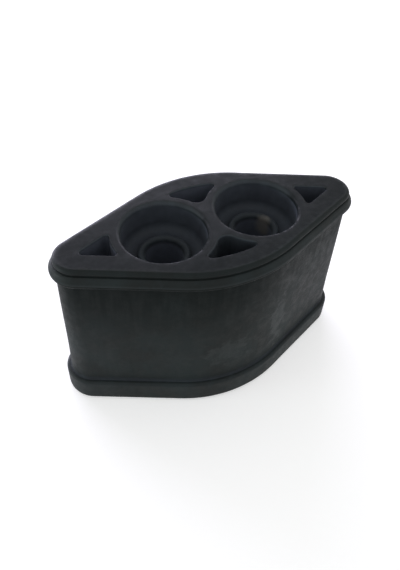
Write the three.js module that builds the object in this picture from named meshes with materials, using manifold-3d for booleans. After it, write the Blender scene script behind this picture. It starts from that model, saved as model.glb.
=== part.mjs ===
// Radiator mount rubber: a lozenge-shaped rubber block with a bead round its top and a flange round its
// foot, two round cups with a collared bolt hole through each, and four cored pockets round the cups.
// Millimetres, +Z up. The origin is the middle of the underside, and X runs along the block.
import * as THREE from "three";
import { mergeVertices } from "three/addons/utils/BufferGeometryUtils.js";
import Module from "manifold-3d";

// Block, measured over the bead at the top
const LENGTH = 72.7;
const WIDTH = 35;
const HEIGHT = 43.7;
const END_RADIUS = 6.35;
const SIDE_RADIUS = 31.55;

// Rounded edge of the top face, and the groove below it
const EDGE_INSET = 1;
const EDGE_RADIUS = 0.9;
const GROOVE_HEIGHT = 0.55;
const GROOVE_DEPTH = 0.4;

// Bead below the groove. Its shoulder and underside slope in degrees from upright.
const BEAD_DROP = 3.2;
const BEAD_RADIUS = 1.2;
const BEAD_SHOULDER = 31;
const BEAD_UNDERSIDE = 60;

// Wall, which spreads a little on its way down, and the flange round its foot
const WALL_INSET = 1.2;
const WALL_SPREAD = 0.6;
const WALL_FILLET = 0.3;
const FLANGE_HEIGHT = 7;
const FLANGE_PROUD = 1.2;
const FLANGE_SHOULDER = 0.8;
const FOOT_RADIUS = 1.5;

// Cups, each with a collar round its bolt hole
const CUP_PITCH = 22.3;
const CUP_RADIUS = 9.35;
const CUP_DEPTH = 7.6;
const CUP_FILLET = 2;
const CUP_MOUTH = 0.4;
const HOLE_RADIUS = 4.35;
const HOLE_MOUTH = 0.5;
const COLLAR_RADIUS = 5.3;
const COLLAR_HEIGHT = 1.4;
const COLLAR_ROUND = 0.6;
const COLLAR_FILLET = 0.3;

// Cored pockets between the walls of the cups and the rim, which is wider round the ends
const SIDE_RIM = 5.65;
const END_RIM = 6.1;
const CUP_WALL = 2.35;
const POCKET_DEPTH = 24;
const POCKET_CORNER = 0.7;
const POCKET_APEX = 2.3;
const POCKET_MOUTH = 0.3;
const POCKET_DRAFT = 0.25;
const POCKET_FILLET = 0.25;

// How far a facet may lie inside its arc, the fewest facets in a corner, and a cutter's run past a face
const CHORD_ERROR = 0.03;
const CORNER_STEPS = 3;
const TURN_STEPS = 48;
const OVERRUN = 1;

const RIGHT = Math.PI / 2;

const wasm = await Module();
wasm.setup();

// Solids and booleans

function toSolid(geometry) {
  const bare = geometry.clone();
  bare.deleteAttribute("normal");
  bare.deleteAttribute("uv");
  const merged = mergeVertices(bare, 1e-4);
  const mesh = new wasm.Mesh({
    numProp: 3,
    vertProperties: Float32Array.from(merged.attributes.position.array),
    triVerts: Uint32Array.from(merged.index.array),
  });
  return new wasm.Manifold(mesh);
}

function toGeometry(solid) {
  const mesh = solid.getMesh();
  const geometry = new THREE.BufferGeometry();
  geometry.setAttribute("position", new THREE.BufferAttribute(mesh.vertProperties, mesh.numProp));
  geometry.setIndex(new THREE.BufferAttribute(mesh.triVerts, 1));
  geometry.computeVertexNormals();
  return geometry;
}

// Outlines. Each is a closed chain of arcs, run anticlockwise, and each arc is tangent to the next or
// joined to it by a straight side. A parallel outline keeps every centre and changes only the radii.

function arc(x, y, radius, from, to) {
  return { x, y, radius, from, to };
}

function arcSteps(radius, turn, fewest) {
  const step = 2 * Math.acos(1 - CHORD_ERROR / radius);
  return Math.max(fewest, Math.ceil(Math.abs(turn) / step));
}

function arcPoints({ x, y, radius, from, to }, inset) {
  const clockwise = to < from;
  const reach = clockwise ? radius + inset : radius - inset;
  const steps = arcSteps(radius, to - from, 2);
  return new THREE.EllipseCurve(x, y, reach, reach, from, to, clockwise).getPoints(steps);
}

function outlinePoints(arcs, inset) {
  return arcs.flatMap((piece) => arcPoints(piece, inset));
}

// Loft through parallel outlines. A profile lists inset and height from the lowest level to the highest.
function loft(arcs, profile) {
  const rings = profile.map((level) => outlinePoints(arcs, level.x));
  const count = rings[0].length;
  const positions = rings.flatMap((ring, i) => ring.flatMap((p) => [p.x, p.y, profile[i].y]));
  const index = [];
  for (let start = 0; start < (rings.length - 1) * count; start += count) {
    for (let k = 0; k < count; k++) {
      const a = start + k;
      const b = start + ((k + 1) % count);
      index.push(a, b, b + count, a, b + count, a + count);
    }
  }
  const top = (rings.length - 1) * count;
  for (const [a, b, c] of THREE.ShapeUtils.triangulateShape(rings[0], [])) {
    index.push(a, c, b);
  }
  for (const [a, b, c] of THREE.ShapeUtils.triangulateShape(rings.at(-1), [])) {
    index.push(top + a, top + b, top + c);
  }
  const geometry = new THREE.BufferGeometry();
  geometry.setAttribute("position", new THREE.Float32BufferAttribute(positions, 3));
  geometry.setIndex(index);
  return geometry;
}

// Rounded corner of a profile, about its own centre
function corner(x, y, radius, from, to) {
  const steps = arcSteps(radius, to - from, CORNER_STEPS);
  return new THREE.EllipseCurve(x, y, radius, radius, from, to, to < from).getPoints(steps);
}

// Block: two end arcs and two flat side arcs joined by straight sides, which face SIDE_HEADING.
const END_CENTRE = LENGTH / 2 - END_RADIUS;
const SIDE_CENTRE = SIDE_RADIUS - WIDTH / 2;
const SIDE_HEADING = Math.atan2(SIDE_CENTRE, END_CENTRE)
  + Math.acos((SIDE_RADIUS - END_RADIUS) / Math.hypot(END_CENTRE, SIDE_CENTRE));

function blockOutline() {
  return [
    arc(END_CENTRE, 0, END_RADIUS, -SIDE_HEADING, SIDE_HEADING),
    arc(0, -SIDE_CENTRE, SIDE_RADIUS, SIDE_HEADING, Math.PI - SIDE_HEADING),
    arc(-END_CENTRE, 0, END_RADIUS, Math.PI - SIDE_HEADING, Math.PI + SIDE_HEADING),
    arc(0, SIDE_CENTRE, SIDE_RADIUS, Math.PI + SIDE_HEADING, 2 * Math.PI - SIDE_HEADING),
  ];
}

function flangeProfile() {
  const wall = WALL_INSET - WALL_SPREAD;
  const rim = wall - FLANGE_PROUD;
  const fillet = Math.min(WALL_FILLET, FLANGE_PROUD - FLANGE_SHOULDER);
  return [
    ...corner(rim + FOOT_RADIUS, FOOT_RADIUS, FOOT_RADIUS, 3 * RIGHT, 2 * RIGHT),
    ...corner(rim + FLANGE_SHOULDER, FLANGE_HEIGHT - FLANGE_SHOULDER, FLANGE_SHOULDER, 2 * RIGHT, RIGHT),
    ...corner(wall - fillet, FLANGE_HEIGHT + fillet, fillet, 3 * RIGHT, 4 * RIGHT),
  ];
}

// The underside meets the wall in a small fillet, and the shoulder runs straight up to the groove's lip.
function beadProfile() {
  const nose = HEIGHT - BEAD_DROP;
  const shoulder = THREE.MathUtils.degToRad(BEAD_SHOULDER);
  const underside = THREE.MathUtils.degToRad(BEAD_UNDERSIDE);
  const reach = WALL_INSET - BEAD_RADIUS * (1 - Math.cos(underside));
  const root = nose - BEAD_RADIUS * Math.sin(underside) - reach / Math.tan(underside);
  const tangent = WALL_FILLET * Math.tan(underside / 2);
  const lip = HEIGHT - EDGE_RADIUS - GROOVE_HEIGHT;
  const rise = lip - nose - BEAD_RADIUS * Math.sin(shoulder);
  return [
    ...corner(WALL_INSET - WALL_FILLET, root - tangent, WALL_FILLET, 0, underside),
    ...corner(BEAD_RADIUS, nose, BEAD_RADIUS, Math.PI + underside, Math.PI - shoulder),
    new THREE.Vector2(BEAD_RADIUS * (1 - Math.cos(shoulder)) + rise * Math.tan(shoulder), lip),
  ];
}

function topEdgeProfile() {
  const floor = EDGE_INSET + GROOVE_DEPTH;
  const top = HEIGHT - EDGE_RADIUS;
  return [
    new THREE.Vector2(floor, top - 0.6 * GROOVE_HEIGHT),
    new THREE.Vector2(floor, top - 0.2 * GROOVE_HEIGHT),
    ...corner(EDGE_INSET + EDGE_RADIUS, top, EDGE_RADIUS, 2 * RIGHT, RIGHT),
  ];
}

function blockProfile() {
  return [...flangeProfile(), ...beadProfile(), ...topEdgeProfile()];
}

// Cutter for one cup: the bolt hole, the rounded collar round it, the cup and its rounded mouth.
function cupCutter() {
  const floor = HEIGHT - CUP_DEPTH;
  const crest = floor + COLLAR_HEIGHT;
  const funnel = COLLAR_RADIUS - HOLE_RADIUS;
  const foot = COLLAR_RADIUS + COLLAR_ROUND + COLLAR_FILLET;
  const profile = [
    new THREE.Vector2(0, -OVERRUN),
    new THREE.Vector2(HOLE_RADIUS + HOLE_MOUTH, -OVERRUN),
    ...corner(HOLE_RADIUS + HOLE_MOUTH, HOLE_MOUTH, HOLE_MOUTH, 3 * RIGHT, 2 * RIGHT),
    ...corner(COLLAR_RADIUS, crest - funnel, funnel, 2 * RIGHT, RIGHT),
    ...corner(COLLAR_RADIUS, crest - COLLAR_ROUND, COLLAR_ROUND, RIGHT, 0),
    ...corner(foot, floor + COLLAR_FILLET, COLLAR_FILLET, 2 * RIGHT, 3 * RIGHT),
    ...corner(CUP_RADIUS - CUP_FILLET, floor + CUP_FILLET, CUP_FILLET, -RIGHT, 0),
    ...corner(CUP_RADIUS + CUP_MOUTH, HEIGHT - CUP_MOUTH, CUP_MOUTH, 2 * RIGHT, RIGHT),
    new THREE.Vector2(CUP_RADIUS + CUP_MOUTH, HEIGHT + OVERRUN),
    new THREE.Vector2(0, HEIGHT + OVERRUN),
  ];
  return new THREE.LatheGeometry(profile, TURN_STEPS).rotateX(RIGHT);
}

// Pockets: each is bounded by the rim's inner face and the round walls of the cups, with small corners.
const CUP_X = CUP_PITCH / 2;
const CUP_OUTER = CUP_RADIUS + CUP_WALL;
const CORNER_REACH = CUP_OUTER + POCKET_CORNER;
const SIDE_INNER = SIDE_RADIUS - SIDE_RIM;

function heading(from, to) {
  return Math.atan2(to.y - from.y, to.x - from.x);
}

// Centre of the front pocket's right-hand corner: inside the rim's side arc and outside the right-hand cup
function sideCornerCentre(side, cup) {
  const reach = SIDE_INNER - POCKET_CORNER;
  const apart = side.distanceTo(cup);
  const along = (reach ** 2 - CORNER_REACH ** 2 + apart ** 2) / (2 * apart);
  const across = Math.sqrt(reach ** 2 - along ** 2);
  const towards = cup.clone().sub(side).divideScalar(apart);
  const right = new THREE.Vector2(-towards.y, towards.x);
  return side.clone().addScaledVector(towards, along).addScaledVector(right, -across);
}

function frontPocketOutline() {
  const side = new THREE.Vector2(0, SIDE_CENTRE);
  const cup = new THREE.Vector2(CUP_X, 0);
  const foot = sideCornerCentre(side, cup);
  const apex = new THREE.Vector2(0, -Math.sqrt((CUP_OUTER + POCKET_APEX) ** 2 - CUP_X ** 2));
  const sideToFoot = heading(side, foot);
  const footToCup = heading(foot, cup);
  const apexToCup = heading(apex, cup);
  return [
    arc(side.x, side.y, SIDE_INNER, -Math.PI - sideToFoot, sideToFoot),
    arc(foot.x, foot.y, POCKET_CORNER, sideToFoot, footToCup),
    arc(cup.x, cup.y, CUP_OUTER, footToCup - Math.PI, apexToCup - Math.PI),
    arc(apex.x, apex.y, POCKET_APEX, apexToCup, Math.PI - apexToCup),
    arc(-cup.x, cup.y, CUP_OUTER, -apexToCup, -footToCup),
    arc(-foot.x, foot.y, POCKET_CORNER, Math.PI - footToCup, Math.PI - sideToFoot),
  ];
}

function endPocketOutline() {
  const sideReach = END_CENTRE * Math.cos(SIDE_HEADING) + END_RADIUS - END_RIM - POCKET_CORNER;
  const tip = sideReach / Math.cos(SIDE_HEADING);
  const open = Math.acos((sideReach - CUP_X * Math.cos(SIDE_HEADING)) / CORNER_REACH);
  const turn = SIDE_HEADING - open;
  const footX = CUP_X + CORNER_REACH * Math.cos(turn);
  const footY = CORNER_REACH * Math.sin(turn);
  return [
    arc(tip, 0, POCKET_CORNER, -SIDE_HEADING, SIDE_HEADING),
    arc(footX, footY, POCKET_CORNER, SIDE_HEADING, Math.PI + turn),
    arc(CUP_X, 0, CUP_OUTER, turn, -turn),
    arc(footX, -footY, POCKET_CORNER, Math.PI - turn, 2 * Math.PI - SIDE_HEADING),
  ];
}

function pocketCutter(outline) {
  const floor = HEIGHT - POCKET_DEPTH;
  return loft(outline, [
    new THREE.Vector2(POCKET_DRAFT + POCKET_FILLET, floor),
    new THREE.Vector2(POCKET_DRAFT, floor + POCKET_FILLET),
    new THREE.Vector2(0, HEIGHT - POCKET_MOUTH),
    new THREE.Vector2(-POCKET_MOUTH, HEIGHT),
    new THREE.Vector2(-POCKET_MOUTH, HEIGHT + OVERRUN),
  ]);
}

// The whole moulding: every cutter is used at its own end of the block and again turned half round.
function mountRubber() {
  const cutters = [
    cupCutter().translate(CUP_X, 0, 0),
    pocketCutter(frontPocketOutline()),
    pocketCutter(endPocketOutline()),
  ];
  let solid = toSolid(loft(blockOutline(), blockProfile()));
  for (const cutter of cutters) {
    solid = solid.subtract(toSolid(cutter));
    solid = solid.subtract(toSolid(cutter.clone().rotateZ(Math.PI)));
  }
  return toGeometry(solid);
}

const rubber = new THREE.MeshStandardMaterial({ color: 0x1d2122, roughness: 0.62, metalness: 0 });

const mount = new THREE.Mesh(mountRubber(), rubber);
mount.name = "mount_rubber";

const part = new THREE.Group();
part.name = "radiator_mount_rubber";
part.add(mount);

export default part;
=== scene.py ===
# Radiator mount rubber: the finely modelled moulding, its rubber, the floor, the lamps and the camera.
import math
from typing import NamedTuple

import bmesh
import bpy
import numpy as np
from mathutils import Matrix, Vector, noise
from mathutils.geometry import delaunay_2d_cdt


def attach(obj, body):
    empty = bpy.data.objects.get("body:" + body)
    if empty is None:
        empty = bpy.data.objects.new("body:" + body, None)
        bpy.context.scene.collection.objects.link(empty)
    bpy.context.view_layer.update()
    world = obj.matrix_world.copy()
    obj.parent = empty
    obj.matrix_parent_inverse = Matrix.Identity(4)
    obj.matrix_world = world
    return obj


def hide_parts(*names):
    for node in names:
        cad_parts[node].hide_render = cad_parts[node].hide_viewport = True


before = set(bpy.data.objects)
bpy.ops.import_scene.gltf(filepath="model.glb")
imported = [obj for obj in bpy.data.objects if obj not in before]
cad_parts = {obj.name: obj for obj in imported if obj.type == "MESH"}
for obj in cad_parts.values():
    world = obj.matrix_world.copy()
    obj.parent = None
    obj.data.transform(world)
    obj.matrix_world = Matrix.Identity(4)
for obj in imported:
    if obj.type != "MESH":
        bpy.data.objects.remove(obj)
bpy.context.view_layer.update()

MM = 0.001
RIGHT = math.pi / 2

# Block, measured over the bead at the top. The lengths of the moulding are in millimetres.
LENGTH = 72.7
WIDTH = 35
HEIGHT = 43.7
END_RADIUS = 6.35
SIDE_RADIUS = 31.55

# Rounded edge of the top face, and the groove below it
EDGE_INSET = 1
EDGE_RADIUS = 0.9
GROOVE_HEIGHT = 0.55
GROOVE_DEPTH = 0.4

# Bead below the groove. Its shoulder and underside slope in degrees from upright.
BEAD_DROP = 3.2
BEAD_RADIUS = 1.2
BEAD_SHOULDER = 31
BEAD_UNDERSIDE = 60

# Wall, which spreads a little on its way down, and the flange round its foot
WALL_INSET = 1.2
WALL_SPREAD = 0.6
WALL_FILLET = 0.3
FLANGE_HEIGHT = 7
FLANGE_PROUD = 1.2
FLANGE_SHOULDER = 0.8
FOOT_RADIUS = 1.5

# Cups, each with a collar round its bolt hole. Their mouths are as round as the photo shows them, which
# is rounder than in the part's own source.
CUP_PITCH = 22.3
CUP_RADIUS = 9.35
CUP_DEPTH = 7.6
CUP_FILLET = 2
CUP_MOUTH = 0.9
HOLE_RADIUS = 4.35
HOLE_MOUTH = 0.5
COLLAR_RADIUS = 5.3
COLLAR_HEIGHT = 1.4
COLLAR_ROUND = 0.6
COLLAR_FILLET = 0.3

# Cored pockets between the walls of the cups and the rim, which is wider round the ends
SIDE_RIM = 5.65
END_RIM = 6.1
CUP_WALL = 2.35
POCKET_DEPTH = 24
POCKET_CORNER = 0.7
POCKET_APEX = 2.3
POCKET_MOUTH = 0.3
POCKET_DRAFT = 0.25
POCKET_FILLET = 0.25

# How finely the skin is meshed, and how far the points of a flat fill keep from its border
SPACING = 0.62
BORDER_GAP = 0.6 * SPACING
ARC_STEPS = 5
CORNER_STEPS = 7
CUP_STEPS = 108

# Length below which a stretch is left out, length below which points are merged, and area below which
# a triangle is left out
TOUCHING = 1e-6
MERGING = 1e-7
SLIVER = 1e-4

# How far the moulded skin wanders from its true form, over long and short stretches, and how far from
# the long pattern the short one is read
LONG_WANDER = 0.035
LONG_REACH = 11
SHORT_WANDER = 0.014
SHORT_REACH = 2.6
PATTERNS_APART = Vector((40, 0, 0))

# How far down the wall the painted shade below the bead reaches
SHADE_REACH = 24

# How far above the flange its dust and painted light have gone from the wall, and how far the wall leans
# in up to there
DUST_RISE = 1.2
DUST_RISE_LEAN = 0.02

# Where the even dust and painted light on a cup's wall end: below the mouth, in rounds of it, and above
# the floor, in fillets of it
DUST_BELOW_MOUTH = 1.5
DUST_ABOVE_FLOOR = 1.4

# Painted shade of the rings round the cups, and how far outside them it has risen to the top face's 1
RING_PAINTED_SHADE = 0.9
RING_FADE = 1.5

# Which way the lips of the cups and pockets face where they get painted light, how much their facing
# changes each tone, and the most painted shade of a lip that faces away. Other skin has a painted shade
# of at most 1.
LIT_LIP_WAY = Vector((0, -1, 0))
LIP_LIGHT_IN_WEAR = 2
LIP_PAINTED_SHADE = 4.5
LIP_LIGHT_IN_DUST = 0.45
MOST_PAINTED_SHADE = 2

# Dust and painted light in the front and back pocket, and in the right and left one
SIDE_POCKET_DUST_AND_LIGHT = (0.3, 1)
END_POCKET_DUST_AND_LIGHT = (0.7, 1)

# Tones that the skin's points hand to its material: wear with painted light, painted shade, and dust with
# painted light
TONES = ("wear_and_painted_light", "painted_shade", "dust_and_painted_light")

# Rubber: deep, also used for painted shade, plain, bloomed, scuffed, a painted highlight, and with dust
# and painted light on it
DEEP = (0.0044, 0.0069, 0.0066, 1)
PLAIN = (0.0102, 0.0164, 0.0168, 1)
BLOOM = (0.0226, 0.0308, 0.0325, 1)
SCUFFED = (0.0300, 0.0376, 0.0384, 1)
GLINT_TONE = (0.1700, 0.1600, 0.1420, 1)
POWDER = (0.0860, 0.0980, 0.1260, 1)

# Patterns in the rubber, in waves a millimetre, and the part of a noise's range that most of it is in
CLOUD_SCALE = 0.11
MOTTLE_SCALE = 0.45
STREAK_SCALE = 0.8
STREAK_STRETCH = (1, 1, 0.12)
GRAIN_SCALE = 5.5
NOISE_LOW = 0.3
NOISE_HIGH = 0.7

# Bloom: its strength, and the parts of the mottle's and the streaks' ranges over which it sets in
FILM = 0.5
FILM_IN_MOTTLE = (0.42, 0.72)
FILM_IN_STREAKS = (0.3, 0.75)

# Part of the mottle's range over which wear and painted light set in, and how much of them shows before
# and after
WEAR_IN_MOTTLE = (0.3, 0.65)
WEAR_SHOWING = (0.25, 0.8)

# How much of the painted shade shows between the streaks and in them, and of the dust and painted light
# over the mottle
PAINTED_SHADE_SHOWING = (0.75, 1)
DUST_AND_LIGHT_SHOWING = (0.8, 1)

# Centre, size and strength of each mark: a smear and a smudge on the front wall, and a painted highlight
# in the right hole
SMEAR_PLACE = (12.7, -14.0, 19.5), (2.6, 4, 7)
SMEAR = 0.8
SMUDGE_PLACE = (-1.5, -16.7, 16.5), (5, 4, 3.2)
SMUDGE = 0.45
GLINT_PLACE = (14.9, 2.0, 35.2), (1.7, 1.9, 2.8)
PAINTED_GLINT = 0.7

# How raggedly a mark ends, how much of that the painted highlight has, and where a mark begins and is
# full, all in sizes of the mark
RAGGED = (-0.5, 0.5)
GLINT_RAGGED = 0.3
MARK_BEGINS = 1.4
MARK_FULL = 0.5

# Roughness, and how much less of it worn skin and skin in painted shade have
ROUGHNESS = (0.52, 0.68)
WORN_SMOOTHER = 0.08
SHADED_SMOOTHER = 0.06

# Specular level of the open skin, that of skin in painted shade, and the share of that left at the most
# painted shade
SHINE = 0.2
SHADED_SHINE = 0.06
LEAST_SHINE = 0.1

# Fine fuzz on the rubber, and its relief with the shares of the grain and the mottle in it
SHEEN = 0.015
SHEEN_ROUGHNESS = 0.45
RELIEF_STRENGTH = 0.35
RELIEF_HEIGHT = 0.12
GRAIN_SHARE = 0.6
MOTTLE_SHARE = 0.4

# Paper of the floor: its two tones, how fine their pattern is in waves a metre, and its finish
PAPER_TONES = (0.86, 0.86, 0.86, 1), (0.88, 0.88, 0.88, 1)
PAPER_SCALE = 900
PAPER_ROUGHNESS = 0.9
PAPER_SHINE = 0.1

# Stage, in metres: the floor and its glow to the camera, the strength with which the white background
# lights the scene, and the point that the lamps face
FLOOR_SIZE = 6
FLOOR_GLOW = 0.46
WORLD_LIGHT = 0.6
LAMP_TARGET = Vector((0, 0, 0.03))

# Camera: where it looks from, in degrees, and in millimetres how far off it is and how far the block
# sits off its axis
CAMERA_AZIMUTH = -26.327
CAMERA_ELEVATION = 46.932
CAMERA_ROLL = 3.08
CAMERA_DISTANCE = 139.114
BLOCK_RIGHT = 1.718
BLOCK_DOWN = 0.257

# Lens: its focal length and the photo's height in pixels, and the sensor's height in millimetres
FOCAL_PIXELS = 562.928
PHOTO_HEIGHT = 570
SENSOR = 36


def add_object(name, data):
    item = bpy.data.objects.new(name, data)
    bpy.context.scene.collection.objects.link(item)
    return item


# Outlines: closed chains of arcs, run anticlockwise, each tangent to the next or joined to it by a
# straight side

class Arc(NamedTuple):
    x: float
    y: float
    radius: float
    start: float
    end: float

    def point(self, angle, inset):
        """The point at an angle, with the outline drawn in by the inset."""
        reach = self.radius - inset if self.end > self.start else self.radius + inset
        return np.array([self.x + reach * math.cos(angle), self.y + reach * math.sin(angle)])

    def points(self, inset):
        steps = max(ARC_STEPS, math.ceil(abs(self.end - self.start) * self.radius / SPACING))
        return [self.point(angle, inset) for angle in np.linspace(self.start, self.end, steps + 1)]


def straight_steps(arc, following):
    length = np.linalg.norm(following.point(following.start, 0) - arc.point(arc.end, 0))
    return math.ceil(length / SPACING) if length > TOUCHING else 0


def outline_points(arcs, inset=0.0):
    points = []
    for arc, following in zip(arcs, arcs[1:] + arcs[:1]):
        points += arc.points(inset)[:-1]
        steps = straight_steps(arc, following)
        begin = arc.point(arc.end, inset)
        finish = following.point(following.start, inset)
        points += [begin + (finish - begin) * k / steps for k in range(steps)]
    return np.array(points)


END_CENTRE = LENGTH / 2 - END_RADIUS
SIDE_CENTRE = SIDE_RADIUS - WIDTH / 2
SIDE_HEADING = (math.atan2(SIDE_CENTRE, END_CENTRE)
                + math.acos((SIDE_RADIUS - END_RADIUS) / math.hypot(END_CENTRE, SIDE_CENTRE)))
CUP_X = CUP_PITCH / 2
CUP_OUTER = CUP_RADIUS + CUP_WALL
CORNER_REACH = CUP_OUTER + POCKET_CORNER
SIDE_INNER = SIDE_RADIUS - SIDE_RIM


def block_outline():
    turn = SIDE_HEADING
    return [
        Arc(END_CENTRE, 0, END_RADIUS, -turn, turn),
        Arc(0, -SIDE_CENTRE, SIDE_RADIUS, turn, math.pi - turn),
        Arc(-END_CENTRE, 0, END_RADIUS, math.pi - turn, math.pi + turn),
        Arc(0, SIDE_CENTRE, SIDE_RADIUS, math.pi + turn, 2 * math.pi - turn),
    ]


def side_corner_centre():
    """Centre of the front pocket's right corner, which touches both the rim and the cup's wall."""
    reach = SIDE_INNER - POCKET_CORNER
    apart = math.hypot(CUP_X, SIDE_CENTRE)
    along = (reach ** 2 - CORNER_REACH ** 2 + apart ** 2) / (2 * apart)
    across = math.sqrt(reach ** 2 - along ** 2)
    x = (CUP_X * along - SIDE_CENTRE * across) / apart
    y = SIDE_CENTRE - (SIDE_CENTRE * along + CUP_X * across) / apart
    return x, y


def front_pocket_outline():
    foot_x, foot_y = side_corner_centre()
    apex_y = -math.sqrt((CUP_OUTER + POCKET_APEX) ** 2 - CUP_X ** 2)
    side_to_foot = math.atan2(foot_y - SIDE_CENTRE, foot_x)
    foot_to_cup = math.atan2(-foot_y, CUP_X - foot_x)
    apex_to_cup = math.atan2(-apex_y, CUP_X)
    return [
        Arc(0, SIDE_CENTRE, SIDE_INNER, -math.pi - side_to_foot, side_to_foot),
        Arc(foot_x, foot_y, POCKET_CORNER, side_to_foot, foot_to_cup),
        Arc(CUP_X, 0, CUP_OUTER, foot_to_cup - math.pi, apex_to_cup - math.pi),
        Arc(0, apex_y, POCKET_APEX, apex_to_cup, math.pi - apex_to_cup),
        Arc(-CUP_X, 0, CUP_OUTER, -apex_to_cup, -foot_to_cup),
        Arc(-foot_x, foot_y, POCKET_CORNER, math.pi - foot_to_cup, math.pi - side_to_foot),
    ]


def end_pocket_outline():
    side_reach = END_CENTRE * math.cos(SIDE_HEADING) + END_RADIUS - END_RIM - POCKET_CORNER
    tip = side_reach / math.cos(SIDE_HEADING)
    turn = SIDE_HEADING - math.acos((side_reach - CUP_X * math.cos(SIDE_HEADING)) / CORNER_REACH)
    foot_x = CUP_X + CORNER_REACH * math.cos(turn)
    foot_y = CORNER_REACH * math.sin(turn)
    return [
        Arc(tip, 0, POCKET_CORNER, -SIDE_HEADING, SIDE_HEADING),
        Arc(foot_x, foot_y, POCKET_CORNER, SIDE_HEADING, math.pi + turn),
        Arc(CUP_X, 0, CUP_OUTER, turn, -turn),
        Arc(foot_x, -foot_y, POCKET_CORNER, math.pi - turn, 2 * math.pi - SIDE_HEADING),
    ]


# Profiles: levels of the skin. Each has an inset or radius, a height, and how worn, how deep in painted
# shade and how dusty the skin is there, wear and dust also carrying painted light, or a lip of 1 where
# its painted light and shade also depend on the way that it faces.

class Level(NamedTuple):
    reach: float
    height: float
    wear_and_painted_light: float = 0.0
    painted_shade: float = 0.0
    dust_and_painted_light: float = 0.0
    lip: float = 0.0


def corner(x, y, radius, start, end, wear_and_painted_light=0.0, painted_shade=0.0, dust_and_painted_light=0.0, lip=0.0):
    """A rounded corner, most worn half way round it."""
    levels = []
    for part in np.linspace(0, 1, CORNER_STEPS + 1):
        angle = start + (end - start) * part
        peak = wear_and_painted_light * math.sin(math.pi * part)
        reach, height = x + radius * math.cos(angle), y + radius * math.sin(angle)
        levels.append(Level(reach, height, peak, painted_shade, dust_and_painted_light, lip))
    return levels


def filled_in(levels):
    """Adds levels along every long stretch, to keep the skin's faces small, and drops repeated ones."""
    result = [levels[0]]
    for low, high in zip(levels, levels[1:]):
        length = math.hypot(high.reach - low.reach, high.height - low.height)
        if length < TOUCHING:
            continue
        steps = max(1, round(length / SPACING))
        start = np.array(low)
        step = (np.array(high) - start) / steps
        result += [Level(*(start + step * k)) for k in range(1, steps + 1)]
    return result


def flange_levels():
    """From the underside round the foot and up the flange to the start of the clean wall."""
    wall = WALL_INSET - WALL_SPREAD
    rim = wall - FLANGE_PROUD
    top = FLANGE_HEIGHT
    shoulder = FLANGE_SHOULDER
    fillet = WALL_FILLET
    return [
        *corner(rim + FOOT_RADIUS, FOOT_RADIUS, FOOT_RADIUS, 3 * RIGHT, 2 * RIGHT, wear_and_painted_light=0.2),
        *corner(rim + shoulder, top - shoulder, shoulder, 2 * RIGHT, RIGHT, wear_and_painted_light=0.4, dust_and_painted_light=0.02),
        # The fillet above the flange carries dust and painted light
        *corner(wall - fillet, top + fillet, fillet, 3 * RIGHT, 4 * RIGHT, dust_and_painted_light=0.2),
        Level(wall + DUST_RISE_LEAN, top + DUST_RISE),
    ]


def bead_levels():
    """From the wall into the painted shade under the bead, round it, and up its shoulder to the groove.
    """
    nose = HEIGHT - BEAD_DROP
    shoulder = math.radians(BEAD_SHOULDER)
    underside = math.radians(BEAD_UNDERSIDE)
    reach = WALL_INSET - BEAD_RADIUS * (1 - math.cos(underside))
    root = nose - BEAD_RADIUS * math.sin(underside) - reach / math.tan(underside)
    tangent = WALL_FILLET * math.tan(underside / 2)
    lip = HEIGHT - EDGE_RADIUS - GROOVE_HEIGHT
    rise = lip - nose - BEAD_RADIUS * math.sin(shoulder)
    lip_inset = BEAD_RADIUS * (1 - math.cos(shoulder)) + rise * math.tan(shoulder)
    return [
        Level(WALL_INSET - WALL_SPREAD * SHADE_REACH / root, root - SHADE_REACH),
        # Painted shade, full in the fillet and under the bead, fading to none down the wall
        *corner(WALL_INSET - WALL_FILLET, root - tangent, WALL_FILLET, 0, underside, painted_shade=1),
        *corner(BEAD_RADIUS, nose, BEAD_RADIUS, math.pi + underside, 2 * RIGHT, painted_shade=1),
        *corner(BEAD_RADIUS, nose, BEAD_RADIUS, 2 * RIGHT, math.pi - shoulder, wear_and_painted_light=0.4),
        Level(lip_inset, lip, wear_and_painted_light=0.3),
    ]


def groove_levels(lip):
    """From the bead's lip round the groove's floor to the foot of the top edge, with painted shade in the
    groove.
    """
    half = GROOVE_HEIGHT / 2
    levels = []
    for part in np.linspace(0, 1, 2 * CORNER_STEPS + 1)[1:-1]:
        sink = math.sin(math.pi * part)
        edge = lip.reach + (EDGE_INSET - lip.reach) * part
        height = lip.height + half - half * math.cos(math.pi * part)
        levels.append(Level(edge + GROOVE_DEPTH * sink, height, painted_shade=0.5))
    return levels


def block_profile():
    """From the underside up the block's side to the top face."""
    bead = bead_levels()
    inset = EDGE_INSET + EDGE_RADIUS
    top = HEIGHT - EDGE_RADIUS
    return filled_in([
        *flange_levels(),
        *bead,
        *groove_levels(bead[-1]),
        # The top edge's rounding carries some painted shade
        *corner(inset, top, EDGE_RADIUS, 2 * RIGHT, RIGHT, wear_and_painted_light=0.3, painted_shade=0.4),
    ])


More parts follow.
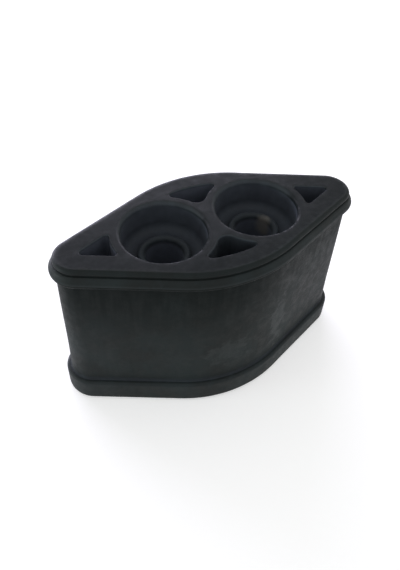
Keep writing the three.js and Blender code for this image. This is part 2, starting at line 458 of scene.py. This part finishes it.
def cup_profile():
    """From the mouth in the top face down the cup and the bolt hole to the underside."""
    mouth = CUP_MOUTH
    floor = HEIGHT - CUP_DEPTH
    crest = floor + COLLAR_HEIGHT
    funnel = COLLAR_RADIUS - HOLE_RADIUS
    foot = COLLAR_RADIUS + COLLAR_ROUND + COLLAR_FILLET
    return filled_in([
        # The cup's mouth is a lip: painted light where it faces the lit way, painted shade where it faces
        # away
        *corner(CUP_RADIUS + mouth, HEIGHT - mouth, mouth, RIGHT, 2 * RIGHT,
                wear_and_painted_light=0.2, painted_shade=1, lip=1),
        # Dust and painted light down the cup's wall and over its floor, collar and bolt hole
        Level(CUP_RADIUS, HEIGHT - DUST_BELOW_MOUTH * mouth, dust_and_painted_light=0.6),
        Level(CUP_RADIUS, floor + DUST_ABOVE_FLOOR * CUP_FILLET, dust_and_painted_light=0.6),
        *corner(CUP_RADIUS - CUP_FILLET, floor + CUP_FILLET, CUP_FILLET, 0, -RIGHT, dust_and_painted_light=0.45),
        *corner(foot, floor + COLLAR_FILLET, COLLAR_FILLET, 3 * RIGHT, 2 * RIGHT, dust_and_painted_light=0.25),
        # The collar's crest is worn and painted paler, a painted highlight along it
        *corner(COLLAR_RADIUS, crest - COLLAR_ROUND, COLLAR_ROUND, 0, RIGHT, wear_and_painted_light=1, dust_and_painted_light=0.3),
        *corner(COLLAR_RADIUS, crest - funnel, funnel, RIGHT, 2 * RIGHT, dust_and_painted_light=0.2),
        Level(HOLE_RADIUS, crest - 2 * funnel, dust_and_painted_light=1),
        Level(HOLE_RADIUS, 2 * HOLE_MOUTH, dust_and_painted_light=1),
        *corner(HOLE_RADIUS + HOLE_MOUTH, HOLE_MOUTH, HOLE_MOUTH, 2 * RIGHT, 3 * RIGHT, wear_and_painted_light=0.8),
    ])


def pocket_profile(dust_and_painted_light):
    """From the mouth in the top face down to the pocket's floor."""
    floor = HEIGHT - POCKET_DEPTH
    mouth = POCKET_MOUTH
    fillet = POCKET_FILLET
    return filled_in([
        # The pocket's mouth is a lip: painted light where it faces the lit way, painted shade where it
        # faces away
        *corner(-mouth, HEIGHT - mouth, mouth, RIGHT, 0, wear_and_painted_light=0.2, painted_shade=1, lip=1),
        Level(POCKET_DRAFT * mouth / POCKET_DEPTH, HEIGHT - 2 * mouth, dust_and_painted_light=dust_and_painted_light),
        *corner(POCKET_DRAFT + fillet, floor + fillet, fillet, 2 * RIGHT, 3 * RIGHT, dust_and_painted_light=dust_and_painted_light),
    ])


# Skin: one closed mesh, put together from rings of points, the strips between them and the flat fills

def inside(points, polygon):
    """Which points lie inside a closed polygon."""
    following = np.roll(polygon, -1, axis=0)
    result = np.zeros(len(points), bool)
    for (ax, ay), (bx, by) in zip(polygon, following):
        crosses = (ay > points[:, 1]) != (by > points[:, 1])
        if ay != by:
            result ^= crosses & (points[:, 0] < ax + (points[:, 1] - ay) * (bx - ax) / (by - ay))
    return result


def between(points, outer, *holes):
    """Which points lie inside the outer polygon and in none of the holes."""
    result = inside(points, outer)
    for hole in holes:
        result &= ~inside(points, hole)
    return result


def areas(triangles):
    side = triangles[:, 1] - triangles[:, 0]
    other = triangles[:, 2] - triangles[:, 0]
    return np.abs(side[:, 0] * other[:, 1] - side[:, 1] * other[:, 0]) / 2


def spread_points(polygons):
    """A triangular grid of points between an outer polygon and its holes, kept clear of their edges."""
    low = polygons[0].min(axis=0)
    high = polygons[0].max(axis=0)
    rows = np.arange(low[1], high[1], SPACING * math.sqrt(3) / 2)
    grid = np.array([(x + (k % 2) * SPACING / 2, y)
                     for k, y in enumerate(rows) for x in np.arange(low[0], high[0], SPACING)])
    grid = grid[between(grid, *polygons)]
    border = np.concatenate(polygons)
    nearest = np.array([np.min(np.sum((border - p) ** 2, axis=1)) for p in grid])
    return grid[nearest > BORDER_GAP ** 2]


class Skin:
    """The points of the moulding, each with its tones, and the faces between them."""

    def __init__(self):
        self.points = []
        self.faces = []
        self.wear_and_painted_light = []
        self.painted_shade = []
        self.dust_and_painted_light = []
        self.lip = []

    def ring(self, outline, level):
        """Adds points at one level, and gives their indices."""
        first = len(self.points)
        self.points += [(x, y, level.height) for x, y in outline]
        self.wear_and_painted_light += [level.wear_and_painted_light] * len(outline)
        self.painted_shade += [level.painted_shade] * len(outline)
        self.dust_and_painted_light += [level.dust_and_painted_light] * len(outline)
        self.lip += [level.lip] * len(outline)
        return list(range(first, len(self.points)))

    def strip(self, ring, following):
        turned = ring[1:] + ring[:1]
        turned_following = following[1:] + following[:1]
        self.faces += list(zip(ring, turned, turned_following, following))

    def loft(self, outline_at, levels):
        """Joins the outlines at every level, and gives the first ring and the last."""
        rings = [self.ring(outline_at(level.reach), level) for level in levels]
        for ring, following in zip(rings, rings[1:]):
            self.strip(ring, following)
        return rings[0], rings[-1]

    def flat(self, outer, holes, level, painted_shade_at=None):
        """Fills the face between an outer ring and its holes with small even triangles."""
        rings = [outer] + holes
        polygons = [np.array([self.points[i][:2] for i in ring]) for ring in rings]
        edges = []
        first = 0
        for ring in rings:
            edges += [(first + k, first + (k + 1) % len(ring)) for k in range(len(ring))]
            first += len(ring)
        spread = spread_points(polygons)
        coords = [Vector(p) for p in np.concatenate([*polygons, spread])]
        whole_hull = 0
        points, _, triangles, *_ = delaunay_2d_cdt(coords, edges, [], whole_hull, MERGING)
        filling = self.ring(spread, level)
        if painted_shade_at:
            for index, point in zip(filling, spread):
                self.painted_shade[index] = painted_shade_at(point)
        indices = [i for ring in rings for i in ring] + filling
        corners = np.array([[points[i] for i in t] for t in triangles])
        wanted = between(corners.mean(axis=1), *polygons) & (areas(corners) > SLIVER)
        self.faces += [tuple(indices[i] for i in t) for t, keep in zip(triangles, wanted) if keep]


def circle(centre_x):
    angles = np.linspace(0, 2 * math.pi, CUP_STEPS, endpoint=False)
    turned = np.stack([np.cos(angles), np.sin(angles)], axis=1)
    return lambda radius: turned * radius + (centre_x, 0)


def turned_half_round(outline_at):
    return lambda inset: -outline_at(inset)


def top_painted_shade(point):
    """How much painted shade darkens the top face at a point: a little less on the rings round the cups.
    """
    nearest = min(math.hypot(point[0] - x, point[1]) for x in (-CUP_X, CUP_X))
    off_ring = min(1, max(0, (nearest - CUP_OUTER) / RING_FADE))
    return RING_PAINTED_SHADE + (1 - RING_PAINTED_SHADE) * off_ring


def build_skin():
    skin = Skin()
    underside, top = skin.loft(lambda inset: outline_points(block_outline(), inset), block_profile())
    cups = [skin.loft(circle(x), cup_profile()) for x in (-CUP_X, CUP_X)]
    pockets = []
    for outline, pocket_dust_and_light in ((front_pocket_outline(), SIDE_POCKET_DUST_AND_LIGHT), (end_pocket_outline(), END_POCKET_DUST_AND_LIGHT)):
        outline_at = lambda inset, arcs=outline: outline_points(arcs, inset)
        for placed, dust_and_painted_light in zip((outline_at, turned_half_round(outline_at)), pocket_dust_and_light):
            mouth, floor = skin.loft(placed, pocket_profile(dust_and_painted_light))
            skin.flat(floor, [], Level(0, HEIGHT - POCKET_DEPTH, dust_and_painted_light=dust_and_painted_light))
            pockets.append(mouth)
    mouths = [mouth for mouth, _ in cups] + pockets
    # The top face carries painted shade, a little less on the rings round the cups
    skin.flat(top, mouths, Level(0, HEIGHT), painted_shade_at=top_painted_shade)
    skin.flat(underside, [outlet for _, outlet in cups], Level(0, 0))
    return skin


def paint_light_on_lips(skin, normals):
    """Paints light on lips that face the lit way, as wear and dust, and paints shade on those that face
    away.
    """
    for index, normal in enumerate(normals):
        facing = skin.lip[index] * normal.dot(LIT_LIP_WAY)
        painted_shade = skin.painted_shade[index] - facing * LIP_PAINTED_SHADE
        skin.wear_and_painted_light[index] = min(1, max(0, skin.wear_and_painted_light[index] + facing * LIP_LIGHT_IN_WEAR))
        skin.painted_shade[index] = min(MOST_PAINTED_SHADE, max(0, painted_shade))
        skin.dust_and_painted_light[index] = max(0, skin.dust_and_painted_light[index] + facing * LIP_LIGHT_IN_DUST)


def wander(point):
    """How far the rubber stands out from its true form at a point, which fades to nothing at its foot."""
    long = noise.noise(point / LONG_REACH) * LONG_WANDER
    short = noise.noise(point / SHORT_REACH + PATTERNS_APART) * SHORT_WANDER
    return (long + short) * min(1.0, point.z / FOOT_RADIUS)


def make_moulding():
    skin = build_skin()
    mesh = bpy.data.meshes.new("rubber_moulding")
    mesh.from_pydata([Vector(p) * MM for p in skin.points], [], skin.faces)
    form = bmesh.new()
    form.from_mesh(mesh)
    bmesh.ops.recalc_face_normals(form, faces=form.faces)
    form.normal_update()
    # Painted light and shade on the lips, by the way they face
    paint_light_on_lips(skin, [v.normal for v in form.verts])
    shifts = [wander(v.co / MM) * MM for v in form.verts]
    for vertex, shift in zip(form.verts, shifts):
        vertex.co += vertex.normal * shift
    form.to_mesh(mesh)
    form.free()
    for name in TONES:
        attribute = mesh.attributes.new(name, "FLOAT", "POINT")
        attribute.data.foreach_set("value", getattr(skin, name))
    mesh.polygons.foreach_set("use_smooth", [True] * len(mesh.polygons))
    return add_object("rubber_moulding", mesh)


# Materials

class Nodes:
    """Short calls for building a node tree."""

    def __init__(self, tree):
        self.tree = tree

    def add(self, kind, **settings):
        node = self.tree.nodes.new(kind)
        for name, value in settings.items():
            setattr(node, name, value)
        return node

    def link(self, source, target):
        self.tree.links.new(source, target)

    def feed(self, socket, value):
        if isinstance(value, bpy.types.NodeSocket):
            self.link(value, socket)
        else:
            socket.default_value = value

    def math(self, operation, first, second):
        node = self.add("ShaderNodeMath", operation=operation)
        self.feed(node.inputs[0], first)
        self.feed(node.inputs[1], second)
        return node.outputs[0]

    def times(self, first, second):
        return self.math("MULTIPLY", first, second)

    def remap(self, value, low, high, to_low=0.0, to_high=1.0):
        node = self.add("ShaderNodeMapRange", interpolation_type="SMOOTHSTEP")
        for socket, given in zip(node.inputs, (value, low, high, to_low, to_high)):
            self.feed(socket, given)
        return node.outputs[0]

    def spread(self, pattern, to_low=0.0, to_high=1.0):
        """Stretches a noise over a whole range."""
        return self.remap(pattern, NOISE_LOW, NOISE_HIGH, to_low, to_high)

    def noise(self, coordinates, scale, detail=3, roughness=0.55, stretch=(1, 1, 1)):
        placed = self.add("ShaderNodeMapping")
        placed.inputs["Scale"].default_value = stretch
        self.link(coordinates, placed.inputs["Vector"])
        node = self.add("ShaderNodeTexNoise")
        self.link(placed.outputs[0], node.inputs["Vector"])
        node.inputs["Scale"].default_value = scale
        node.inputs["Detail"].default_value = detail
        node.inputs["Roughness"].default_value = roughness
        return node.outputs["Fac"]

    def mix(self, factor, first, second):
        node = self.add("ShaderNodeMix", data_type="RGBA")
        self.feed(node.inputs["Factor"], factor)
        self.feed(node.inputs["A"], first)
        self.feed(node.inputs["B"], second)
        return node.outputs["Result"]

    def mark(self, coordinates, centre, size, ragged):
        """A soft-edged patch round a point, in millimetres, made ragged by a noise."""
        offset = self.add("ShaderNodeVectorMath", operation="SUBTRACT")
        self.link(coordinates, offset.inputs[0])
        offset.inputs[1].default_value = centre
        scaled = self.add("ShaderNodeVectorMath", operation="DIVIDE")
        self.link(offset.outputs[0], scaled.inputs[0])
        scaled.inputs[1].default_value = size
        length = self.add("ShaderNodeVectorMath", operation="LENGTH")
        self.link(scaled.outputs[0], length.inputs[0])
        distance = self.math("ADD", length.outputs["Value"], ragged)
        return self.remap(distance, MARK_BEGINS, MARK_FULL)

    def seen(self):
        """1 for what the camera sees, also in or through something, and 0 for rays that bring light."""
        rays = self.add("ShaderNodeLightPath").outputs
        seen = self.math("MAXIMUM", rays["Is Camera Ray"], rays["Is Glossy Ray"])
        return self.math("MAXIMUM", seen, rays["Is Transmission Ray"])


def new_material(name):
    """A material, with short calls for its node tree and the shader in it."""
    material = bpy.data.materials.new(name)
    material.use_nodes = True
    return material, Nodes(material.node_tree), material.node_tree.nodes["Principled BSDF"]


def rubber_material():
    material, nodes, shader = new_material("rubber")
    place = nodes.add("ShaderNodeTexCoord").outputs["Object"]
    millimetres = nodes.add("ShaderNodeVectorMath", operation="SCALE")
    nodes.link(place, millimetres.inputs[0])
    millimetres.inputs["Scale"].default_value = 1 / MM
    at = millimetres.outputs[0]
    wear_and_painted_light, painted_shade, dust_and_painted_light = [
        nodes.add("ShaderNodeAttribute", attribute_name=name).outputs["Fac"] for name in TONES]

    cloud = nodes.noise(at, CLOUD_SCALE)
    mottle = nodes.noise(at, MOTTLE_SCALE, detail=5, roughness=0.6)
    streak = nodes.noise(at, STREAK_SCALE, stretch=STREAK_STRETCH)
    grain = nodes.noise(at, GRAIN_SCALE, roughness=0.65)
    ragged = nodes.spread(mottle, *RAGGED)
    smear = nodes.times(nodes.mark(at, *SMEAR_PLACE, ragged), SMEAR)
    smudge = nodes.times(nodes.mark(at, *SMUDGE_PLACE, ragged), SMUDGE)
    # Painted highlight in the right bolt hole
    painted_glint = nodes.times(nodes.mark(at, *GLINT_PLACE, nodes.times(ragged, GLINT_RAGGED)), PAINTED_GLINT)
    film = nodes.times(nodes.remap(mottle, *FILM_IN_MOTTLE), nodes.remap(streak, *FILM_IN_STREAKS))
    # Wear, with the painted light of the lips and the collar in it
    rubbed_and_lit = nodes.times(wear_and_painted_light, nodes.remap(mottle, *WEAR_IN_MOTTLE, *WEAR_SHOWING))
    # Painted shade, broken up by the streaks
    shade = nodes.times(painted_shade, nodes.spread(streak, *PAINTED_SHADE_SHOWING))
    # Dust, with painted light in it
    dust_and_light_mask = nodes.times(dust_and_painted_light, nodes.spread(mottle, *DUST_AND_LIGHT_SHOWING))

    base = nodes.mix(nodes.spread(cloud), DEEP, PLAIN)
    base = nodes.mix(nodes.times(film, FILM), base, BLOOM)
    base = nodes.mix(nodes.math("ADD", smear, smudge), base, SCUFFED)
    base = nodes.mix(rubbed_and_lit, base, BLOOM)
    base = nodes.mix(shade, base, DEEP)
    base = nodes.mix(dust_and_light_mask, base, POWDER)
    base = nodes.mix(painted_glint, base, GLINT_TONE)
    nodes.link(base, shader.inputs["Base Color"])

    rough = nodes.spread(mottle, *ROUGHNESS)
    rough = nodes.math("SUBTRACT", rough, nodes.times(wear_and_painted_light, WORN_SMOOTHER))
    rough = nodes.math("SUBTRACT", rough, nodes.times(shade, SHADED_SMOOTHER))
    nodes.link(rough, shader.inputs["Roughness"])
    # Less specular shine in painted shade
    shine = nodes.remap(shade, 0, 1, SHINE, SHADED_SHINE)
    left_of_it = nodes.remap(shade, 1, MOST_PAINTED_SHADE, 1, LEAST_SHINE)
    nodes.link(nodes.times(shine, left_of_it), shader.inputs["Specular IOR Level"])
    shader.inputs["Sheen Weight"].default_value = SHEEN
    shader.inputs["Sheen Roughness"].default_value = SHEEN_ROUGHNESS

    relief = nodes.math("ADD", nodes.times(grain, GRAIN_SHARE), nodes.times(mottle, MOTTLE_SHARE))
    bump = nodes.add("ShaderNodeBump")
    bump.inputs["Strength"].default_value = RELIEF_STRENGTH
    bump.inputs["Distance"].default_value = RELIEF_HEIGHT * MM
    nodes.link(relief, bump.inputs["Height"])
    nodes.link(bump.outputs["Normal"], shader.inputs["Normal"])
    return material


def floor_material():
    """A matt white floor that shows its shadows, and is pure white to the camera where it has none."""
    material, nodes, shader = new_material("floor_paper")
    place = nodes.add("ShaderNodeTexCoord").outputs["Object"]
    tone = nodes.spread(nodes.noise(place, PAPER_SCALE, detail=2))
    nodes.link(nodes.mix(tone, *PAPER_TONES), shader.inputs["Base Color"])
    shader.inputs["Roughness"].default_value = PAPER_ROUGHNESS
    shader.inputs["Specular IOR Level"].default_value = PAPER_SHINE
    glow = nodes.add("ShaderNodeEmission")
    nodes.link(nodes.times(nodes.seen(), FLOOR_GLOW), glow.inputs["Strength"])
    both = nodes.add("ShaderNodeAddShader")
    nodes.link(shader.outputs[0], both.inputs[0])
    nodes.link(glow.outputs[0], both.inputs[1])
    nodes.link(both.outputs[0], material.node_tree.nodes["Material Output"].inputs["Surface"])
    return material


# Stage, light and camera

def add_floor():
    bpy.ops.mesh.primitive_plane_add(size=FLOOR_SIZE)
    floor = bpy.context.object
    floor.name = "floor"
    floor.data.materials.append(floor_material())


def add_lamp(name, location, size, power, colour):
    light = bpy.data.lights.new(name, "AREA")
    light.color = colour
    light.shape = "RECTANGLE"
    light.size, light.size_y = size
    light.energy = power
    lamp = add_object(name, light)
    lamp.location = location
    lamp.rotation_euler = (LAMP_TARGET - Vector(location)).to_track_quat("-Z", "Y").to_euler()


def set_world():
    world = bpy.data.worlds.new("studio")
    bpy.context.scene.world = world
    world.use_nodes = True
    background = world.node_tree.nodes["Background"]
    background.inputs["Color"].default_value = (1, 1, 1, 1)
    nodes = Nodes(world.node_tree)
    nodes.link(nodes.remap(nodes.seen(), 0, 1, WORLD_LIGHT, 1), background.inputs["Strength"])


def camera_axes():
    """The camera's right, its up, and the way back from the block to it."""
    azimuth = math.radians(CAMERA_AZIMUTH)
    elevation = math.radians(CAMERA_ELEVATION)
    back = Vector((math.sin(azimuth) * math.cos(elevation),
                   -math.cos(azimuth) * math.cos(elevation), math.sin(elevation)))
    right = Vector((0, 0, 1)).cross(back).normalized()
    up = back.cross(right)
    roll = Matrix.Rotation(math.radians(CAMERA_ROLL), 3, back)
    return roll @ right, roll @ up, back


def add_camera():
    right, up, back = camera_axes()
    middle = Vector((0, 0, HEIGHT / 2))
    location = middle - right * BLOCK_RIGHT + up * BLOCK_DOWN + back * CAMERA_DISTANCE
    turned = Matrix((right, up, back)).transposed().to_4x4()
    data = bpy.data.cameras.new("camera")
    data.sensor_fit = "VERTICAL"
    data.sensor_height = SENSOR
    data.lens = FOCAL_PIXELS * SENSOR / PHOTO_HEIGHT
    data.clip_start = MM
    camera = add_object("camera", data)
    camera.matrix_world = Matrix.Translation(location * MM) @ turned
    bpy.context.scene.camera = camera


moulding = make_moulding()
moulding.data.materials.append(rubber_material())
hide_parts("mount_rubber")
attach(moulding, "root")

add_floor()
add_lamp("behind", (0.02, 0.88, 0.17), size=(1.25, 0.2), power=17.5, colour=(0.84, 0.8, 1))
add_lamp("left", (-0.85, 0.15, 0.1), size=(0.3, 0.14), power=2, colour=(0.88, 1, 1))
set_world()
add_camera()
bpy.context.scene.view_settings.view_transform = "Standard"
